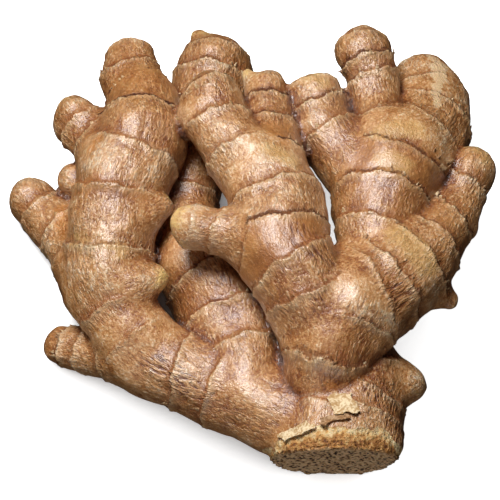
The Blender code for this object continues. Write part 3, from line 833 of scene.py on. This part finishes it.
# %% Material of the dry bark
bark = bpy.data.materials.new("dry_cork_bark")
bark.use_nodes = True
tree = bark.node_tree
bark_shader = tree.nodes["Principled BSDF"]
coords = add(tree, "TexCoord").outputs["Object"]
age = add(tree, "Attribute", attribute_name="age").outputs["Fac"]
fibres = spots(0.8, 3.0, 0.65, coords)
stains = spots(3.0, 2.0, 0.5, coords, shift=(6, 2, 7))
cream_share = fade(sum_of((fibres, 0.7), (stains, 0.5)), 0.50, 0.72)
cream, brown = [add(tree, "Mix", {0: share, 6: linear(under), 7: linear(over)}, data_type="RGBA").outputs[2]
                for share, under, over in ((cream_share, "b08a5a", "e8d3ad"),
                                           (fade(fibres, 0.35, 0.65), "5a3419", "a8754a"))]
aged = add(tree, "Mix", {0: age, 6: cream, 7: brown}, data_type="RGBA").outputs[2]
tree.links.new(aged, bark_shader.inputs["Base Color"])
bark_shader.inputs["Roughness"].default_value = 0.75
bark_shader.inputs["Specular IOR Level"].default_value = 0.35
bark_bump = add(tree, "Bump", {"Height": fibres, "Strength": 1.0, "Distance": 0.25 * MM})
tree.links.new(bark_bump.outputs["Normal"], bark_shader.inputs["Normal"])
print("bark nodes:", len(tree.nodes))

# %% [markdown]
# ## Scraps of bark by the break
#
# Breaking the root pulled two pale scraps and a brown flap loose; the flap's brown is partly aged bark and
# partly painted shade under the lifted side of the top scrap. They cling to the trunk just above the torn
# edge, ragged all round, and one long side of each stands up and throws a dark line of shadow.
# Flat cards would float over such a lumpy surface or cut into it. Here each scrap is a grid, torn to shape,
# pressed onto the skin by a Shrinkwrap modifier, lifted along one side, and only then given its thickness.

# %% Press a scrap onto the skin
def clear_selection():
    """Deselect every object, so that the next operator works on one piece only."""
    for thing in bpy.context.view_layer.objects:
        thing.select_set(False)


def modify(piece, kind, **fields):
    """Give the active piece a modifier with these settings and apply it."""
    modifier = piece.modifiers.new(kind.lower(), kind)
    for field, value in fields.items():
        setattr(modifier, field, value)
    bpy.ops.object.modifier_apply(modifier=modifier.name)


def join_bark(pieces, name):
    """Join several bits into one piece of dry bark."""
    clear_selection()
    for piece in pieces:
        piece.select_set(True)
    bpy.context.view_layer.objects.active = pieces[0]
    bpy.ops.object.join()
    whole = bpy.context.object
    whole.name = name
    whole.data.materials.clear()
    whole.data.materials.append(bark)
    return whole


def choose_points(piece, rule):
    """Select in edit mode the points of a piece that a rule picks by their place."""
    bpy.ops.mesh.select_all(action="DESELECT")
    bpy.ops.object.mode_set(mode="OBJECT")
    for vertex in piece.data.vertices:
        vertex.select = rule(vertex.co)
    bpy.ops.object.mode_set(mode="EDIT")


def bark_scrap(name, middle, run, out, length, width, seed, rise, years):
    """A ragged sheet pressed onto the skin, with its long side towards the break lifted."""
    clear_selection()
    out = Vector(out).normalized()
    run = Vector(run)
    run = (run - out * run.dot(out)).normalized()
    across = out.cross(run)
    at = (Vector(middle) - Vector(MIDDLE)) * MM
    turn = Matrix((run, across, out)).transposed().to_euler()
    bpy.ops.mesh.primitive_grid_add(x_subdivisions=26, y_subdivisions=14, size=MM, location=at, rotation=turn)
    scrap = bpy.context.object
    scrap.name = name
    scrap.scale = (length, width, 1.0)
    bpy.ops.object.transform_apply(location=True, rotation=True, scale=True)

    def sheet_place(point):
        off = (point - at) / MM
        return 2 * off.dot(run) / length, 2 * off.dot(across) / width

    def torn_away(point):
        u, v = sheet_place(point)
        tear = 0.22 * noise.noise((1.5 * u + seed, 1.1 * v, 0.0))
        tear += 0.15 * noise.noise((5 * u, 3 * v, seed + 0.5))
        return max(abs(u + 0.25 * v), abs(v)) > 0.86 + tear

    bpy.ops.object.mode_set(mode="EDIT")
    choose_points(scrap, torn_away)
    bpy.ops.mesh.delete(type="VERT")
    bpy.ops.object.mode_set(mode="OBJECT")
    modify(scrap, "SHRINKWRAP", target=skin, offset=0.6 * MM, wrap_mode="ABOVE_SURFACE")
    bpy.ops.object.mode_set(mode="EDIT")
    bpy.ops.mesh.select_all(action="SELECT")
    bpy.ops.mesh.vertices_smooth(factor=0.5, repeat=3)
    for step, share in ((-0.1, 0.3), (-0.45, 0.45), (-0.75, 0.25)):
        choose_points(scrap, lambda point: sheet_place(point)[1] < step)
        bpy.ops.transform.translate(value=out * rise * share * MM)
    bpy.ops.mesh.select_all(action="SELECT")
    bpy.ops.transform.vertex_random(offset=0.10 * MM, seed=seed)
    bpy.ops.object.mode_set(mode="OBJECT")
    modify(scrap, "SOLIDIFY", thickness=0.30 * MM, offset=1.0)
    modify(scrap, "SUBSURF", levels=1, render_levels=1)
    bpy.ops.object.shade_smooth()
    store(scrap.data, "age", np.full(len(scrap.data.vertices), years))
    return scrap


# Name, middle, way it runs, way it faces, length, width, seed, rise of the lifted side and age.
SCRAPS = [("scrap_top", (32.3, -68.0, 46.6), (1, 0.14, 0), (0.0, -0.1, 1.0), 13.0, 11.0, 3, 0.9, 0.0),
          ("scrap_left", (16.4, -76.6, 43.0), (9.7, 2.2, 7.1), (-0.6, -0.1, 0.8), 17.0, 5.6, 8, 1.1, 0.0),
          # The flap's age of 0.7 makes it brown, partly as aged bark and partly as painted shade below the
          # lifted edge of the top scrap.
          ("flap", (29.8, -73.6, 46.4), (1, 0.22, 0), (0.0, -0.15, 1.0), 12.0, 3.4, 5, 1.5, 0.7)]
bark_scraps = join_bark([bark_scrap(*values) for values in SCRAPS], "bark_scraps")
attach(bark_scraps, "root")
print("scraps:", len(bark_scraps.data.polygons), "faces")

# %% [markdown]
# ## Remains of leaf scales
#
# Underground every leaf ring carried a papery scale. Most of it has rotted or rubbed away, and what is left
# is a fringe of small curled shreds along the rings, thickest where the ring is cracked.
# Each shred is tiny, so three of them are modelled and a few hundred copies are set along the rings, turned
# with the growth of their finger. A particle system would scatter them all over; these follow the ring lines.

# %% Three shreds
def shred_shape(name, taper, curl, seed):
    """A torn tongue of scale, 1 mm square before it is tapered, with its tip towards +Y and curled up."""
    clear_selection()
    bpy.ops.mesh.primitive_grid_add(x_subdivisions=2, y_subdivisions=4, size=MM, location=(0, 0, 0))
    shred = bpy.context.object
    shred.name = name
    bpy.ops.object.mode_set(mode="EDIT")
    for height, narrow, lift in ((-0.1, 0.85, 0.05), (0.2, taper + 0.2, curl / 2), (0.45, taper, curl)):
        choose_points(shred, lambda point: point.y > height * MM)
        bpy.ops.transform.resize(value=(narrow, 1, 1))
        bpy.ops.transform.translate(value=(0, 0, lift * MM))
    bpy.ops.mesh.select_all(action="SELECT")
    bpy.ops.transform.vertex_random(offset=0.07 * MM, seed=seed)
    bpy.ops.object.mode_set(mode="OBJECT")
    modify(shred, "SOLIDIFY", thickness=0.14 * MM)
    bpy.ops.object.shade_smooth()
    return shred


shreds = [shred_shape("shred_a", 0.45, 0.16, 1), shred_shape("shred_b", 0.7, 0.05, 2),
          shred_shape("shred_c", 0.3, 0.28, 3)]
print("faces of a shred:", [len(shred.data.polygons) for shred in shreds])

# %% Where the shreds grow
SHREDS_PER_RING = 20
# Single large remains: place, way of growth, length, width and age.
LARGE_REMAINS = [((83.2, 48.3, 27.9), (0.9, -0.3, 0.1), 2.6, 2.2, 0.9),
                 ((-12.8, -4.5, 35.1), (0.3, 1.0, 0.3), 3.0, 0.5, 0.0),
                 ((70.0, 26.3, 44.6), (0.9, -0.1, 0.3), 4.5, 3.2, 0.45),
                 ((72.5, 29.0, 41.5), (0.9, -0.2, 0.4), 4.0, 2.8, 0.5),
                 ((74.0, 24.5, 41.0), (0.9, 0.1, 0.4), 4.2, 3.0, 0.6),
                 ((68.0, 29.0, 44.5), (0.6, 0.8, 0.3), 2.4, 1.2, 0.8),
                 ((66.0, 31.0, 45.5), (0.2, 1.0, 0.3), 2.4, 1.0, 0.8)]
surface = BVHTree.FromObject(skin, bpy.context.evaluated_depsgraph_get())
dice = np.random.default_rng(21)
places = []
for name, rings in FRAYED.items():
    finger = fingers[name]
    for distance, fray in rings.items():
        count = int(SHREDS_PER_RING * fray ** 1.5)
        angle = dice.choice(dice.uniform(-math.pi, math.pi, 5), count) + dice.normal(0, 0.28, count)
        line = ring_line(finger, finger["rings"].index(distance), angle)
        sample = np.clip(np.searchsorted(finger["along"], line), 0, len(finger["along"]) - 1)
        out = finger["side"][sample] * np.sin(angle)[:, None] + finger["up"][sample] * np.cos(angle)[:, None]
        spot = finger["centre"][sample] + out * (finger["radius"][sample] + 0.4)[:, None]
        seen = (np.abs(root_skin(spot)[0]) < 1.3) & (spot[:, 2] > 4)
        for at, way in zip(spot[seen], finger["direction"][sample][seen]):
            places.append((at, way, dice.uniform(0.9, 2.3), dice.uniform(0.6, 2.0), dice.uniform(0.0, 1.0)))
places += LARGE_REMAINS
print("shreds to set:", len(places))

# %% Set the shreds
copies = []
for number, (spot, way, length, width, years) in enumerate(places):
    at, out, _, _ = surface.find_nearest((Vector(spot) - Vector(MIDDLE)) * MM)
    pitch = dice.uniform(0.1, 0.5)
    way = Vector(way)
    way = ((way - out * way.dot(out)).normalized() * math.cos(pitch) + out * math.sin(pitch)).normalized()
    across = way.cross(out).normalized()
    turn = Matrix((across * width, way * length, across.cross(way))).transposed().to_4x4()
    base = shreds[number % len(shreds)]
    copy = bpy.data.objects.new("leaf_scale_%d" % number, base.data.copy())
    copy.data.transform(Matrix.Translation(at + way * 0.35 * length * MM - out * 0.05 * MM) @ turn)
    store(copy.data, "age", np.full(len(copy.data.vertices), 0.15 + 0.85 * years))
    bpy.context.scene.collection.objects.link(copy)
    copies.append(copy)
leaf_scales = join_bark(copies, "leaf_scale_remains")
for shred in shreds:
    bpy.data.objects.remove(shred)
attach(leaf_scales, "root")
print("remains of leaf scales:", len(leaf_scales.data.polygons), "faces")

# %% [markdown]
# ## Table, light and camera
#
# The root lies on a plain white table. It glows by itself where it is open to the sky, as painted light, so
# that it is white in the picture, and the glow fades under the fingers as painted shade; it isn't seen in the
# root's diffuse and glossy light.
# A large soft light overhead, a little behind and to the left, lays a satin shine along the top of each
# finger; a weaker one in front opens the shadows, and a small low one lights the break like a white card. The
# camera looks down at 65 degrees with the break nearest to it.

# %% Table
SKY_REACH = 40 * MM
DARK_BELOW, WHITE_ABOVE = 0.18, 0.58
bpy.ops.mesh.primitive_plane_add(size=6.0, location=(0, 0, 0))
table = bpy.context.object
table.name = "table"
paper = bpy.data.materials.new("white_table")
paper.use_nodes = True
tree = paper.node_tree
paper_shader = tree.nodes["Principled BSDF"]
for socket, value in {"Base Color": linear("f6f5f3"), "Roughness": 0.9,
                      "Emission Color": linear("ffffff")}.items():
    paper_shader.inputs[socket].default_value = value
# The table's glow is painted light, and its fading where the fingers close over it is painted shade.
open_sky = add(tree, "AmbientOcclusion", {"Distance": SKY_REACH}).outputs["AO"]
tree.links.new(fade(open_sky, DARK_BELOW, WHITE_ABOVE), paper_shader.inputs["Emission Strength"])
table.data.materials.append(paper)
table.visible_diffuse = False
table.visible_glossy = False
print("table:", tuple(table.dimensions))


# %% Lights
def soft_light(name, place_at, aim, size, watts):
    """A square soft light that faces a point."""
    lamp = bpy.data.lights.new(name, "AREA")
    lamp.size, lamp.energy = size, watts
    light = bpy.data.objects.new(name, lamp)
    bpy.context.scene.collection.objects.link(light)
    light.location = place_at
    light.visible_camera = False
    light.rotation_euler = (Vector(aim) - Vector(place_at)).to_track_quat("-Z", "Y").to_euler()


soft_light("key", (-0.24, 0.32, 0.99), (0, 0, 0.02), 0.42, 15.6)
soft_light("front", (-0.3, -0.9, 0.45), (0, 0, 0.02), 0.7, 1.4)
soft_light("card", (0.03, -0.42, 0.03), (0.03, -0.09, 0.03), 0.12, 0.28)
world = bpy.data.worlds.new("white room")
world.use_nodes = True
for socket, value in {"Color": linear("ffcfa8"), "Strength": 0.03}.items():
    world.node_tree.nodes["Background"].inputs[socket].default_value = value
bpy.context.scene.world = world
bpy.context.scene.view_settings.view_transform = "Standard"
print("lights:", [light.name for light in bpy.data.lights])

# %% Camera
TARGET = Vector((0.07, -8.55, 28.0)) * MM
DISTANCE = 0.75
ELEVATION = math.radians(65.0)
PIXELS, FIELD_PIXELS, SENSOR = 500, 2027, 36.0
camera_data = bpy.data.cameras.new("camera")
camera_data.sensor_width = SENSOR
camera_data.lens = SENSOR * FIELD_PIXELS / PIXELS
camera = bpy.data.objects.new("camera", camera_data)
bpy.context.scene.collection.objects.link(camera)
camera.location = TARGET + DISTANCE * Vector((0, -math.cos(ELEVATION), math.sin(ELEVATION)))
camera.rotation_euler = (math.pi / 2 - ELEVATION, 0, 0)
bpy.context.scene.camera = camera
print("lens, mm:", round(camera_data.lens, 1))

# %% [markdown]
# ## Finish
#
# The skin's points were kept inside the solid's box above; here the view layer is only brought up to date.
# The looks may not make the root bigger than its solid.

# %% Finish
bpy.context.view_layer.update()
